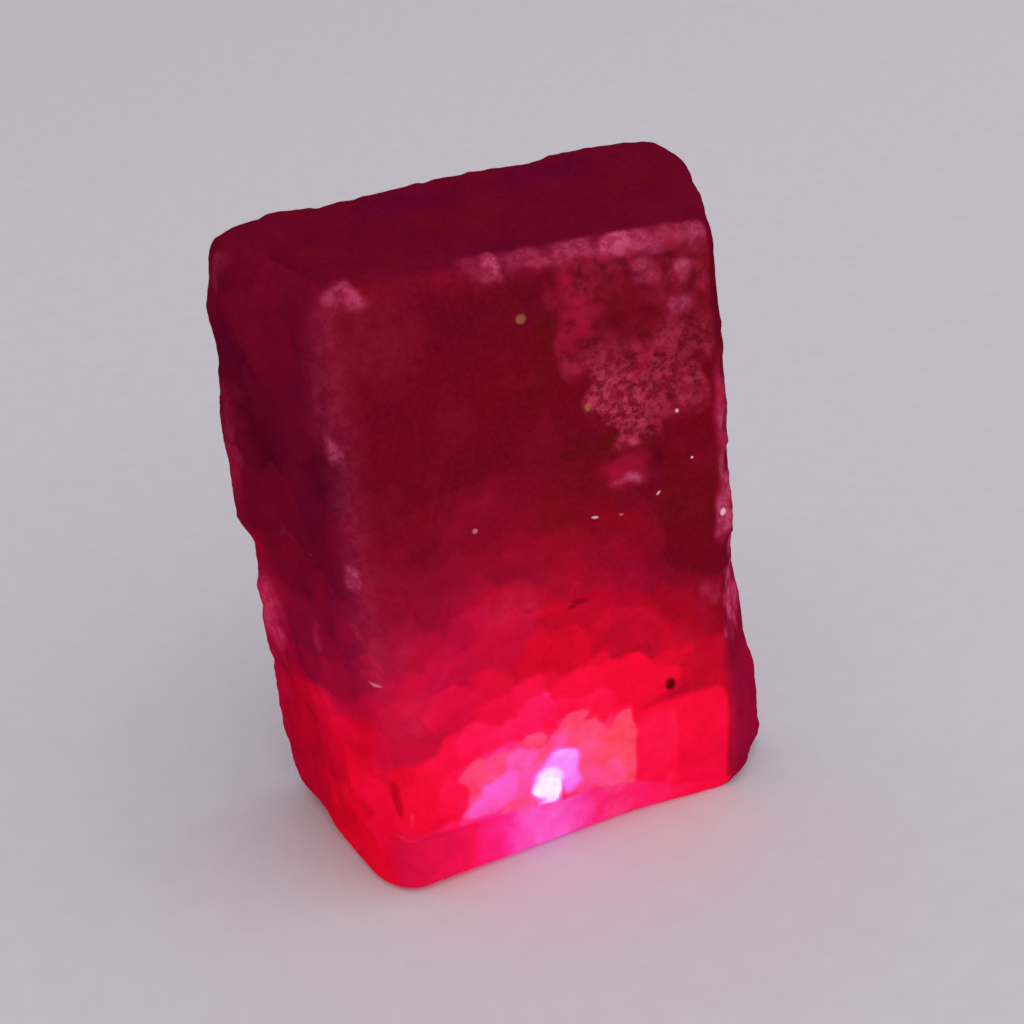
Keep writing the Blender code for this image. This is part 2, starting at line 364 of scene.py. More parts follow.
cube, quads = cube_surface(GRID)
millimetres, sides = shaped(cube)
low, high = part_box("ruby_crystal")
middle = (millimetres.max(axis=0) + millimetres.min(axis=0)) / 2.0
middle[2] = millimetres[:, 2].min()
frame_middle = np.array([(low.x + high.x) / 2.0, (low.y + high.y) / 2.0, low.z])


def in_frame(points):
    """Millimetres as metres in the frame: less the block's own middle, plus the frame's."""
    return (points - middle) * METRES + frame_middle


stone_mesh = quad_mesh("ruby_stone", in_frame(millimetres), quads)
stone = bpy.data.objects.new("ruby_stone", stone_mesh)
bpy.context.scene.collection.objects.link(stone)
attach(stone, "root")
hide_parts("ruby_crystal")

# ---------------------------------------------------------------------------------------------
# Painted light inside the stone: ruby glows where strong light enters it, here through its foot, and
# the stone's emission paints that glow; no lamp in the scene lights it. The light breaks up on inner
# cracks into overlapping flat scales, white-hot at the heart, then pink, coral and red, and it fades
# into the dark stone above.
# ---------------------------------------------------------------------------------------------

# The heart of the light on the front: where (x, z), in millimetres.
HEART = (-0.9, 6.2)

# How bright the front is at each distance in millimetres from the heart of the light.
GLOW_CURVE = (
    (0.0, 0.82),
    (3.0, 0.80),
    (5.0, 0.765),
    (6.3, 0.72),
    (7.5, 0.68),
    (8.7, 0.64),
    (10.0, 0.58),
    (11.3, 0.51),
    (12.6, 0.42),
    (13.8, 0.33),
    (15.2, 0.20),
    (16.1, 0.15),
    (17.3, 0.11),
    (19.0, 0.07),
    (21.0, 0.03),
    (23.0, 0.0),
)

# The least that the upright sides and the top count for together, under the rounded foot.
LEAST_SHARE = 0.03


def even_glow(points, sides):
    """The brightness before it breaks into scales: by distance from the heart on the front, less
    high on the right, and by height on the other sides, each counted by its share of the point. On
    the left it steps up below a slanting line, over a haze that is brighter near the edges."""
    x, y, z = points.T
    reach, level = zip(*GLOW_CURVE)
    front = np.interp(np.hypot(x - HEART[0], z - HEART[1]), reach, level)
    front -= 0.10 * smooth_step(x, 4.0, 10.0) * smooth_step(z, 10.0, 13.0)
    front -= 0.08 * smooth_step(x, -1.0, 4.0) * bell(z, 18.8, 1.5)
    haze = 0.06 + 0.13 * (1.0 - smooth_step(z, 16.5, 22.5))
    haze += 0.12 * bell(z, 15.0, 4.0) * smooth_step(-y, 1.0, 6.0)
    haze += 0.09 * bell(z, 18.0, 6.0) * smooth_step(y, 0.0, 3.5)
    line = 13.9 - 0.3 * np.clip(y + 3.0, 0.0, None)
    front_edge = smooth_step(-y, 3.0, 7.0)
    dark = smooth_step(z, line - 1.2 - 3.0 * front_edge, line + 0.8 + front_edge)
    left = haze + (0.54 - 0.030 * (y + 2.0) - haze) * (1.0 - dark)
    back = 0.35 * (1.0 - smooth_step(z, 6.0, 20.0)) + 0.10 * (1.0 - smooth_step(z, 14.0, 27.0))
    right = 0.24 * (1.0 - smooth_step(z, 12.0, 19.0)) - 0.10 * bell(z, 11.5, 2.0)
    share = np.clip(front, 0.0, None) * sides["front"] + left * sides["left"]
    share += back * sides["back"] + right * sides["right"]
    return share / np.maximum(1.0 - sides["base"], LEAST_SHARE)


# The ways out of a cube's six sides and eight corners.
SCALE_WAYS = np.stack(np.meshgrid([-1, 0, 1], [-1, 0, 1], [-1, 0, 1]), axis=-1).reshape(-1, 3)
SCALE_WAYS = SCALE_WAYS[np.isin(np.abs(SCALE_WAYS).sum(axis=1), (1, 3))].astype(float)
SCALE_WAYS /= np.linalg.norm(SCALE_WAYS, axis=1)[:, None]


def scale_reach(offsets, ways):
    """The eighth root of the summed eighth powers of an offset's parts along the ways: 1 at the rim
    of a many-sided scale with rounded corners."""
    return (np.clip(offsets @ ways.T, 0.0, None) ** 8).sum(axis=1) ** 0.125


# Larger scales on the front: where (x, z), half size, turn in degrees, corners, level, pinkness.
FRONT_SCALES = (
    ((2.0, 15.9), (4.6, 2.2), -18.0, 6, 0.42, 0.2),
    ((4.6, 15.4), (2.1, 1.7), -10.0, 5, 0.50, 0.2),
    ((-2.7, 15.9), (2.9, 2.3), -15.0, 6, 0.48, 0.6),
    ((8.9, 10.7), (3.2, 2.1), -4.0, 4, 0.46, 0.2),
    ((-5.1, 14.4), (2.3, 1.9), -18.0, 6, 0.47, 0.6),
    ((-9.4, 12.5), (3.4, 2.3), -16.0, 5, 0.50, 0.7),
    ((-6.6, 12.9), (2.2, 1.8), -16.0, 5, 0.60, 0.6),
    ((0.4, 14.8), (2.7, 2.2), -18.0, 6, 0.54, 0.1),
    ((5.7, 13.9), (2.2, 1.9), -18.0, 5, 0.44, 0.3),
    ((7.6, 11.6), (1.9, 1.4), -18.0, 5, 0.58, 0.2),
    ((-3.9, 14.2), (1.6, 1.2), -19.0, 5, 0.60, 0.4),
    ((6.7, 10.3), (2.2, 1.2), -20.0, 5, 0.65, 0.1),
    ((0.0, 13.0), (1.1, 0.8), -20.0, 5, 0.62, 0.3),
    ((5.0, 11.6), (2.5, 1.9), -20.0, 7, 0.68, 0.1),
    ((1.6, 12.0), (2.1, 1.7), -22.0, 6, 0.68, 0.3),
    ((-3.9, 12.3), (1.7, 1.2), -16.0, 5, 0.65, 0.5),
    ((-1.8, 12.8), (1.4, 1.1), -20.0, 6, 0.67, 0.6),
    ((-9.9, 8.8), (1.9, 1.6), -10.0, 5, 0.64, 0.1),
    ((-9.2, 6.9), (2.7, 1.8), -8.0, 6, 0.67, 0.1),
    ((-8.0, 9.1), (1.9, 1.6), -21.0, 6, 0.67, 0.2),
    ((-6.8, 9.9), (1.9, 1.3), -22.0, 5, 0.69, 0.4),
    ((0.7, 11.2), (1.2, 1.0), -16.0, 5, 0.71, 0.4),
    ((-1.3, 11.1), (1.5, 1.2), -21.0, 5, 0.72, 0.6),
    ((2.6, 10.2), (1.6, 1.5), -22.0, 6, 0.72, 0.2),
    ((-5.1, 10.6), (1.9, 1.4), -20.0, 7, 0.71, 0.5),
    ((-3.2, 10.5), (1.3, 1.0), -20.0, 5, 0.73, 0.5),
    ((-6.9, 7.6), (1.6, 1.9), -14.0, 6, 0.715, 0.3),
    ((8.8, 4.0), (3.3, 5.2), -3.0, 4, 0.675, 0.2),
    ((6.7, 4.4), (1.7, 4.6), -3.0, 4, 0.715, 0.2),
    ((3.9, 5.4), (1.5, 3.3), -2.0, 4, 0.79, 0.0),
    ((4.8, 8.2), (0.7, 1.9), 10.0, 5, 0.79, 0.0),
    ((2.2, 8.4), (1.1, 1.1), -22.0, 5, 0.80, 0.1),
    ((0.8, 9.3), (1.2, 1.2), -10.0, 5, 0.80, 0.15),
    ((-1.5, 9.2), (1.0, 0.8), -25.0, 6, 0.795, 0.2),
    ((-5.8, 7.7), (1.0, 1.5), -18.0, 5, 0.79, 0.2),
    ((-4.3, 8.4), (1.3, 0.9), -10.0, 5, 0.80, 0.3),
    ((1.9, 6.9), (1.3, 1.3), -17.0, 6, 0.81, 0.15),
    ((3.6, 4.8), (1.3, 1.1), -20.0, 5, 0.815, 0.25),
    ((0.0, 8.8), (0.8, 0.7), 0.0, 5, 0.82, 0.5),
    ((-2.7, 8.1), (1.2, 1.0), -17.0, 6, 0.84, 0.6),
    ((-6.4, 5.7), (0.8, 0.7), -20.0, 5, 0.79, 0.3),
    ((1.6, 4.9), (1.4, 1.2), 0.0, 5, 0.80, 0.4),
    ((-3.9, 6.9), (1.6, 1.1), -10.0, 6, 0.85, 0.9),
    ((-4.8, 5.9), (2.2, 1.0), -2.0, 6, 0.845, 0.8),
    ((-2.2, 6.4), (0.9, 1.3), 0.0, 6, 0.83, 0.7),
    ((0.6, 5.8), (1.0, 1.3), 0.0, 6, 0.90, 1.0),
    ((0.1, 7.0), (1.4, 1.2), 0.0, 5, 0.93, 1.0),
    ((-0.9, 6.2), (1.15, 1.05), 0.0, 7, 0.975, 1.0),
    ((-1.2, 5.3), (1.3, 1.3), 0.0, 7, 1.0, 1.0),
)

# The bevel under the front glows evenly: at each x its upper rim, its level and its pinkness.
BEVEL_GLOW = (
    (-12.0, 4.2, 0.52, 1.0),
    (-9.0, 5.2, 0.62, 1.0),
    (-7.0, 4.9, 0.67, 1.0),
    (-5.6, 4.9, 0.735, 1.0),
    (-4.6, 4.8, 0.75, 1.0),
    (-3.3, 4.7, 0.805, 1.0),
    (-1.9, 4.5, 0.835, 1.0),
    (-0.3, 4.1, 0.845, 1.0),
    (1.2, 4.2, 0.80, 0.9),
    (2.4, 4.1, 0.765, 0.7),
    (3.9, 3.7, 0.77, 0.5),
    (6.0, 3.0, 0.74, 0.6),
    (8.2, 1.8, 0.715, 0.4),
    (11.5, 1.0, 0.67, 0.2),
)

# How many small scales there are, their seed, the least even glow that one starts from, and how
# fully one covers what is under it.
SMALL_SCALES = 1100
SCALE_SEED = 12
LEAST_GLOW = 0.02
SMALL_COVER = 0.9

# How near the even glow has to be to a small scale's level for it to show in full, and at all.
LEVEL_NEAR = 0.06
LEVEL_FAR = 0.14

# A scale's soft rim in millimetres, and how many times its size it may reach up or down.
SOFT_RIM = 0.35
FARTHEST = 1.8


def cracked(points):
    """Each point pushed aside by a quarter of a millimetre's lumps, so that outlines on it waver."""
    return points + 0.25 * np.stack([lumps(points, 2.0, seed) for seed in (41, 42, 43)], axis=1)


def light_scales(points, even, hue, front):
    """Paints scales of nearly steady brightness over each other: random small ones first, the dim
    before the bright, then the larger ones of the front in their order. Each is brighter towards
    its top. A small one is centred on a point of the surface, and keeps to where the even glow is
    near its own. The four-sided ones have straight outlines. Gives the brightness and pinkness."""
    draw = np.random.default_rng(SCALE_SEED)
    order = np.argsort(points[:, 2])
    order = order[even[order] > LEAST_GLOW]
    place, straight, steady = cracked(points)[order], points[order], even[order]
    height = straight[:, 2]
    level, pink = steady.copy(), hue[order]
    chosen = draw.permutation(order.size)[:SMALL_SCALES]
    shades = level[chosen] + draw.normal(-0.02, 0.03, chosen.size)
    for i in np.argsort(shades):
        centre = place[chosen[i]]
        size = (0.7 + 1.9 * (1.0 - shades[i])) * draw.uniform(0.7, 1.3)
        ways = SCALE_WAYS @ np.linalg.qr(draw.normal(size=(3, 3)))[0]
        ways /= size * draw.uniform(0.75, 1.3, len(ways))[:, None]
        span = (centre[2] - FARTHEST * size, centre[2] + FARTHEST * size)
        near = slice(*np.searchsorted(height, span))
        offset = place[near] - centre
        reach = scale_reach(offset, ways)
        inside = SMALL_COVER * (1.0 - smooth_step(reach, 1.0 - SOFT_RIM / size, 1.0))
        inside *= 1.0 - smooth_step(np.abs(steady[near] - shades[i]), LEVEL_NEAR, LEVEL_FAR)
        level[near] += (shades[i] + 0.02 * offset[:, 2] / size - level[near]) * inside
        tone = hue[order[chosen[i]]] + draw.uniform(-0.3, 0.3)
        pink[near] += (tone - pink[near]) * inside
    for (across, up), half, turn, corners, shade, tone in FRONT_SCALES:
        turns = np.radians(turn) + 2.0 * np.pi * np.arange(corners) / corners
        ways = np.column_stack([np.cos(turns), np.sin(turns)])
        measured = straight if corners == 4 else place
        offset = (measured[:, (0, 2)] - (across, up)) / half
        reach = scale_reach(offset, ways)
        inside = front[order] * (1.0 - smooth_step(reach, 1.0 - SOFT_RIM / min(half), 1.0))
        level += (shade + 0.012 * offset[:, 1] - level) * inside
        pink += (tone - pink) * inside
    glow, pinkness = even.copy(), hue.copy()
    glow[order], pinkness[order] = level, pink
    return glow, pinkness


# How far each point belongs to the front and to the right side, with the base left out.
around = np.maximum(1.0 - sides["base"], LEAST_SHARE)
front_face = smooth_step(sides["front"] / around, 0.3, 0.7)
right_face = smooth_step(sides["right"] / around, 0.15, 0.45)

# The glow before its scales: its brightness, and its pinkness, which grows to the left on the front
# and upwards on the left side.
even = even_glow(millimetres, sides)
hue = 0.25 + 0.5 * smooth_step(-millimetres[:, 0], -1.0, 5.0)
hue += (0.75 * smooth_step(millimetres[:, 2], 11.0, 14.0) - hue) * sides["left"] / around

# The scales, then the bevel's own even glow, and the right side, which shows no scales.
level, pink = light_scales(millimetres, even, hue, front_face)
bevel_x, *bevel_glow = zip(*BEVEL_GLOW)
rim, bevel_level, bevel_pink = (np.interp(millimetres[:, 0], bevel_x, row) for row in bevel_glow)
bevel = front_face * (1.0 - smooth_step(millimetres[:, 2] - rim, -0.3, 0.0))
level += (bevel_level - level) * bevel
pink += (bevel_pink - pink) * bevel
level += (even - level) * right_face
pink += (0.8 - pink) * right_face


def keep_on_points(mesh, name, values):
    """Stores one number a point on the mesh, for the material to read."""
    kept = np.clip(values, 0.0, 1.0).astype(np.float32)
    mesh.attributes.new(name, "FLOAT", "POINT").data.foreach_set("value", kept)


keep_on_points(stone_mesh, "glow", level)
keep_on_points(stone_mesh, "pinkness", pink)

# ---------------------------------------------------------------------------------------------
# Marks on the skin: frosted bruises, crimson rims, pink crumbs, dark and tan specks, and painted
# glints. A painted purple sheen lies on the left side and the top, and painted shade in the left
# side's trough and groove. Broken ruby looks pink and powdery where it is bruised, because the
# crushed skin scatters light. Each mark is an ellipse on one side of the block.
# ---------------------------------------------------------------------------------------------

# Where on the side, half size, turn in degrees, strength. A place is (x, z) on the front, (y, z) on
# the left and right, and (x, y) on the top.
FRONT_FROST = (
    ((-1.2, 40.4), (0.85, 0.8), 0.0, 1.0),
    ((6.4, 40.4), (1.8, 1.1), 0.0, 1.0),
    ((8.0, 40.0), (1.8, 0.9), 0.0, 0.7),
    ((8.0, 38.4), (1.4, 1.6), 0.0, 0.65),
    ((11.3, 40.3), (1.2, 1.4), 0.0, 0.8),
    ((1.2, 40.3), (2.6, 0.7), 0.0, 0.5),
    ((3.6, 40.4), (3.2, 0.8), 0.0, 0.6),
    ((9.3, 40.3), (2.8, 1.1), 0.0, 0.5),
    ((-2.2, 40.6), (1.6, 0.9), 0.0, 0.3),
    ((-10.3, 40.5), (1.6, 1.0), 0.0, 0.6),
    ((-9.4, 40.1), (1.5, 1.0), 0.0, 0.7),
    ((-8.8, 37.6), (4.6, 4.6), 0.0, 0.15),
    ((10.4, 38.1), (1.0, 1.0), 0.0, 0.9),
    ((10.2, 36.1), (1.2, 1.1), 0.0, 0.8),
    ((-11.5, 31.2), (0.8, 1.9), 0.0, 0.85),
    ((-12.2, 34.4), (1.0, 1.8), 0.0, 0.35),
    ((6.5, 27.8), (0.5, 0.35), 0.0, 0.8),
    ((6.0, 25.4), (1.8, 0.36), 2.0, 0.9),
    ((-11.8, 22.8), (0.8, 1.5), 0.0, 1.0),
    ((-10.6, 4.7), (1.0, 0.2), -20.0, 0.7),
    ((-10.4, 6.4), (0.25, 0.6), 0.0, 0.5),
    ((-11.8, 19.4), (0.5, 1.3), 0.0, 0.45),
    ((-10.2, 18.4), (2.6, 2.6), 0.0, 0.15),
    ((-2.1, 19.0), (3.0, 2.2), 20.0, 0.22),
    ((-9.4, 13.4), (2.6, 2.0), 0.0, 0.22),
    ((11.1, 15.9), (1.0, 1.2), 0.0, 0.35),
    ((12.3, 21.0), (0.8, 2.4), 0.0, 1.0),
    ((12.3, 24.4), (0.5, 1.4), 0.0, 0.7),
    ((12.5, 27.6), (0.6, 1.8), 0.0, 1.0),
)
RIGHT_FROST = (
    ((-3.4, 21.2), (2.0, 4.6), 8.0, 1.0),
    ((-1.6, 18.0), (2.0, 2.6), 25.0, 0.7),
    ((-2.2, 14.4), (2.2, 4.4), -10.0, 0.9),
    ((-0.4, 11.8), (1.6, 2.2), 30.0, 0.7),
    ((-4.0, 27.0), (1.6, 6.0), 0.0, 0.5),
)
LEFT_FROST = (
    ((4.4, 39.4), (1.4, 1.8), 0.0, 0.3),
    ((5.6, 27.5), (1.4, 6.0), 0.0, 0.3),
    ((4.6, 15.4), (2.4, 4.0), 0.0, 0.7),
    ((2.7, 16.6), (1.6, 1.0), -10.0, 0.4),
    ((0.9, 22.8), (1.6, 0.5), 20.0, 0.35),
    ((-2.1, 21.6), (1.0, 0.4), 25.0, 0.45),
    ((-1.8, 17.1), (1.3, 0.6), -10.0, 0.35),
)
FRONT_CRIMSON = (
    ((2.9, 38.4), (1.2, 1.4), 0.0, 0.6),
    ((3.4, 36.0), (1.8, 2.8), -20.0, 0.7),
    ((7.6, 32.6), (0.8, 1.6), -20.0, 0.8),
    ((12.5, 28.0), (0.9, 5.0), 0.0, 0.8),
    ((12.4, 21.0), (0.9, 3.0), 0.0, 0.8),
    ((6.0, 26.3), (2.4, 1.3), 2.0, 1.0),
)

# Where the chip patch shows less, and where crumbs lie in it.
PATCH_GAPS = (
    ((6.9, 36.0), (3.2, 2.6), 0.0, 0.9),
    ((10.4, 33.0), (1.6, 2.4), 0.0, 0.5),
)
CRUMBS = (
    ((5.6, 30.4), (4.4, 4.8), 0.0, 1.0),
    ((10.0, 32.0), (3.4, 4.4), 0.0, 0.7),
)

# Small marks on the front, drawn by the material itself, which keeps them sharp: painted glints,
# which are small white points of light, then dark specks and tan specks.
PAINTED_GLINTS = (
    ((-11.2, 15.8), (0.50, 0.16), -10.0, 0.3),
    ((7.95, 24.0), (0.22, 0.10), 40.0, 0.8),
    ((3.7, 23.4), (0.30, 0.12), -13.0, 0.7),
    ((5.4, 23.2), (0.20, 0.10), -13.0, 0.25),
    ((10.3, 25.6), (0.11, 0.11), 0.0, 1.0),
    ((9.5, 29.0), (0.16, 0.16), 0.0, 0.7),
    ((-4.0, 24.7), (0.22, 0.22), 0.0, 0.3),
    ((12.25, 21.2), (0.28, 0.34), 0.0, 0.9),
)
DIRT = (
    ((7.9, 10.1), (0.50, 0.62), 10.0, 1.0),
    ((-10.95, 8.6), (0.42, 0.62), 10.0, 0.35),
    ((-10.85, 7.5), (0.36, 1.7), 6.0, 0.45),
    ((2.3, 18.1), (0.8, 0.28), -10.0, 0.45),
    ((1.7, 17.8), (0.4, 0.22), 0.0, 0.4),
)
SAND = (
    ((0.2, 37.2), (0.40, 0.40), 0.0, 0.45),
    ((3.9, 30.6), (0.28, 0.32), 0.0, 0.40),
)

# Where a painted purple sheen lies over the left side and the top, and painted shade in the left
# side's trough.
LEFT_PURPLE_SHEEN = (
    ((3.5, 34.1), (3.4, 3.6), 0.0, 0.8),
    ((4.4, 15.6), (2.6, 2.0), 0.0, 0.8),
    ((1.8, 14.0), (2.6, 2.4), 0.0, 0.6),
    ((-0.9, 39.0), (3.0, 3.0), 0.0, 0.4),
)
# Painted shade: darker in the trough of the left side.
LEFT_SHADE = (
    ((2.4, 28.0), (3.4, 5.0), 0.0, 0.15),
)
TOP_PURPLE_SHEEN = (
    ((-3.8, 4.7), (5.0, 2.4), 0.0, 0.8),
    ((4.4, 5.1), (5.0, 2.4), 0.0, 0.8),
    ((-12.0, 4.5), (3.0, 2.4), 0.0, 0.4),
)


def marks(table, across, up, share):
    """The strongest mark of a table at each point: its strength up to three tenths of its reach, and
    0 from its rim outwards. All of it counts by the side's share of the point."""
    total = np.zeros(len(across))
    for centre, half, turn, strength in table:
        cosine, sine = np.cos(np.radians(turn)), np.sin(np.radians(turn))
        u, v = across - centre[0], up - centre[1]
        reach = np.hypot((u * cosine + v * sine) / half[0], (v * cosine - u * sine) / half[1])
        total = np.maximum(total, strength * (1.0 - smooth_step(reach, 0.3, 1.0)))
    return total * share


x, y, z = millimetres.T
front_side = smooth_step(sides["front"], 0.05, 0.3)
left_side = smooth_step(sides["left"], 0.1, 0.5)
right_side = smooth_step(sides["right"], 0.1, 0.5)

# Lumps push the marks' outlines about: least on the front, and most on the right.
ragged_x, ragged_z, ragged_y = (0.5 * lumps(millimetres, 2.2, seed) for seed in (51, 52, 53))
frost = marks(FRONT_FROST, x + 0.5 * ragged_x, z + 0.5 * ragged_z, front_side)
frost = np.maximum(frost, marks(RIGHT_FROST, y + 1.4 * ragged_y, z + 1.4 * ragged_z, right_side))
frost = np.maximum(frost, marks(LEFT_FROST, y + ragged_y, z + ragged_z, left_side))
worn_edge = np.clip(4.0 * sides["front"] * sides["left"], 0.0, 1.0) * smooth_step(z, 13.0, 17.0)
frost = np.maximum(frost, 0.30 * worn_edge)
crimson = marks(FRONT_CRIMSON, x + 0.5 * ragged_x, z + 0.5 * ragged_z, front_side)
# Painted sheen: purple over the left side and the top.
purple_sheen = np.maximum(marks(LEFT_PURPLE_SHEEN, y, z, left_side), marks(TOP_PURPLE_SHEEN, x, y, sides["top"]))
brown = smooth_step(x, -3.0, 2.0) * front_face * smooth_step(z, 19.0, 25.0)
# Painted shade: darker along the left side's upright groove and in its trough.
groove = bell(y, -6.5, 0.6) * smooth_step(z, 10.5, 13.0) * (1.0 - smooth_step(z, 20.0, 23.0))
shade = np.maximum(marks(LEFT_SHADE, y, z, left_side), 0.12 * groove * smooth_step(-x, 10.5, 11.3))
patch = chip_patch(x + ragged_x, z + ragged_z) * front_face * smooth_step(z, 27.2, 28.0)
patch *= 1.0 - marks(PATCH_GAPS, x, z, front_side)
crumbs = patch * marks(CRUMBS, x, z, front_side)

skin_marks = {
    "frost": frost,
    "patch": patch,
    "crumbs": crumbs,
    "crimson": crimson,
    "shade": shade,
    "purple_sheen": purple_sheen,
    # The front's share: it lifts the front to the lit red, painted light, and carries the pink film.
    "film_and_lit_front": front_face,
    "brown": brown,
}
for mark, values in skin_marks.items():
    keep_on_points(stone_mesh, mark, values)


def on_front(across, up):
    """The point of the front nearest to a place (x, z), in metres in the frame."""
    away = np.where(front_side < 0.5, np.inf, np.hypot(x - across, z - up))
    return in_frame(millimetres[np.argmin(away)])


# ---------------------------------------------------------------------------------------------
# The stone's finish: deep wine-red ruby with a waxy, finely frosted skin.
# Purple and brown clouds lie in the red, a pink film lies over it, and the light in the foot shows
# through the surface in its own colours, painted as emission. The front is painted lighter than the
# other sides, a painted purple sheen lies on the left side and the top, and painted shade lies in the
# left side's trough and groove.
# ---------------------------------------------------------------------------------------------


def linear(red, green, blue):
    """Screen values from 0 to 255 as the linear values that shaders take."""
    share = np.array([red, green, blue]) / 255.0
    return np.where(share > 0.04045, ((share + 0.055) / 1.055) ** 2.4, share / 12.92)


def paint(red, green, blue):
    """A screen colour as the opaque linear colour that shaders take."""
    return (*linear(red, green, blue).tolist(), 1.0)


# What the skin of the stone sends back by itself in this room.
SKIN = linear(112, 9, 26)


def added(red, green, blue):
    """The light to add to the skin's own, to see this colour."""
    return (*np.clip(linear(red, green, blue) - SKIN, 0.0, None).tolist(), 1.0)


class Finish:
    """A material being made, with its shader, the place on the piece, and short ways to add and join
    nodes."""

    def __init__(self, name):
        self.material = bpy.data.materials.new(name)
        self.material.use_nodes = True
        self.tree = self.material.node_tree
        self.shader = self.tree.nodes["Principled BSDF"]
        self.place = self.add("ShaderNodeTexCoord").outputs["Object"]

    def add(self, kind, **values):
        """A new node with these settings."""
        node = self.tree.nodes.new(kind)
        for name, value in values.items():
            setattr(node, name, value)
        return node

    def join(self, value, socket):
        """Joins a node's output to a socket, or sets the socket to a plain number or colour."""
        if isinstance(value, (float, tuple)):
            socket.default_value = value
        else:
            self.tree.links.new(value, socket)

    def stored(self, name):
        """A number kept on the points of the mesh."""
        return self.add("ShaderNodeAttribute", attribute_name=name).outputs["Fac"]

    def noise(self, size, detail, roughness=0.55):
        """Noise whose blobs are about size millimetres across."""
        node = self.add("ShaderNodeTexNoise")
        self.join(self.place, node.inputs["Vector"])
        node.inputs["Scale"].default_value = 1.0 / (size * METRES)
        node.inputs["Detail"].default_value = detail
        node.inputs["Roughness"].default_value = roughness
        return node.outputs["Fac"]

    def cells(self, size):
        """One random value for each cell, the cells about size millimetres across."""
        node = self.add("ShaderNodeTexVoronoi")
        self.join(self.place, node.inputs["Vector"])
        node.inputs["Scale"].default_value = 1.0 / (size * METRES)
        return node.outputs["Color"]

    def span(self, value, low, high, to_low=0.0, to_high=1.0):
        """A smooth step from to_low, where the value is low or less, to to_high."""
        node = self.add("ShaderNodeMapRange", interpolation_type="SMOOTHSTEP")
        self.join(value, node.inputs["Value"])
        node.inputs["From Min"].default_value = low
        node.inputs["From Max"].default_value = high
        node.inputs["To Min"].default_value = to_low
        node.inputs["To Max"].default_value = to_high
        return node.outputs["Result"]

    def math(self, operation, first, second):
        """The operation on two values, each an output or a plain number."""
        node = self.add("ShaderNodeMath", operation=operation)
        self.join(first, node.inputs[0])
        self.join(second, node.inputs[1])
        return node.outputs[0]

    def times(self, first, second):
        return self.math("MULTIPLY", first, second)

    def swing(self, value, reach):
        """A value between 0 and 1 as a swing about 0, reach in all."""
        return self.times(self.math("SUBTRACT", value, 0.5), reach)

    def mix(self, share, first, second):
        """The first colour where the share is 0, the second where it is 1."""
        node = self.add("ShaderNodeMix", data_type="RGBA")
        self.join(share, node.inputs["Factor"])
        self.join(first, node.inputs[6])
        self.join(second, node.inputs[7])
        return node.outputs[2]

    def spot(self, centre, half, turn, strength):
        """A round or long mark: its strength up to four tenths of its reach, 0 from its rim on."""
        node = self.add("ShaderNodeMapping", vector_type="TEXTURE")
        self.join(self.place, node.inputs["Vector"])
        node.inputs["Location"].default_value = on_front(*centre)
        node.inputs["Rotation"].default_value = (0.0, -np.radians(turn), 0.0)
        node.inputs["Scale"].default_value = (half[0] * METRES, METRES, half[1] * METRES)
        length = self.add("ShaderNodeVectorMath", operation="LENGTH")
        self.join(node.outputs["Vector"], length.inputs[0])
        return self.span(length.outputs["Value"], 0.4, 1.0, strength, 0.0)

    def spots(self, table):
        """The strongest mark of a table."""
        total = self.spot(*table[0])
        for row in table[1:]:
            total = self.math("MAXIMUM", total, self.spot(*row))
        return total

    def ramp(self, value, stops):
        """The colour of a table of stops at a value from 0 to 1."""
        node = self.add("ShaderNodeValToRGB")
        self.join(value, node.inputs["Fac"])
        elements = node.color_ramp.elements
        while len(elements) < len(stops):
            elements.new(0.5)
        for element, (position, colour) in zip(elements, stops):
            element.position = position
            element.color = colour
        return node.outputs["Color"]

    def bump(self, height, strength, depth):
        """Bumps the surface by a height from 0 to 1, with its depth in millimetres."""
        node = self.add("ShaderNodeBump")
        node.inputs["Strength"].default_value = strength
        node.inputs["Distance"].default_value = depth * METRES
        self.join(height, node.inputs["Height"])
        self.join(node.outputs["Normal"], self.shader.inputs["Normal"])


# The skin's colours, from the stone itself to what lies on it.
# The first two are one red, shaded and lit: painted shade on the top, back and sides, and painted
# light on the front.
DEEP_IN_SHADE = paint(98, 7, 31)
WINE_IN_LIGHT = paint(117, 9, 25)
PURPLE_TONE_AND_SHEEN = paint(86, 4, 46)
BROWN = paint(100, 16, 14)
FILM = paint(146, 20, 42)
PATCH = paint(158, 31, 56)
CRUMB = paint(196, 60, 90)
PIT = paint(92, 8, 24)
CRIMSON = paint(172, 22, 56)
BRUISE = paint(170, 34, 72)
FROST = paint(196, 78, 114)
GLINT_WHITE = paint(255, 205, 232)
TAN = paint(185, 130, 90)
SOOT_AND_SHADE = paint(22, 0, 3)
BLACK = (0.0, 0.0, 0.0, 1.0)

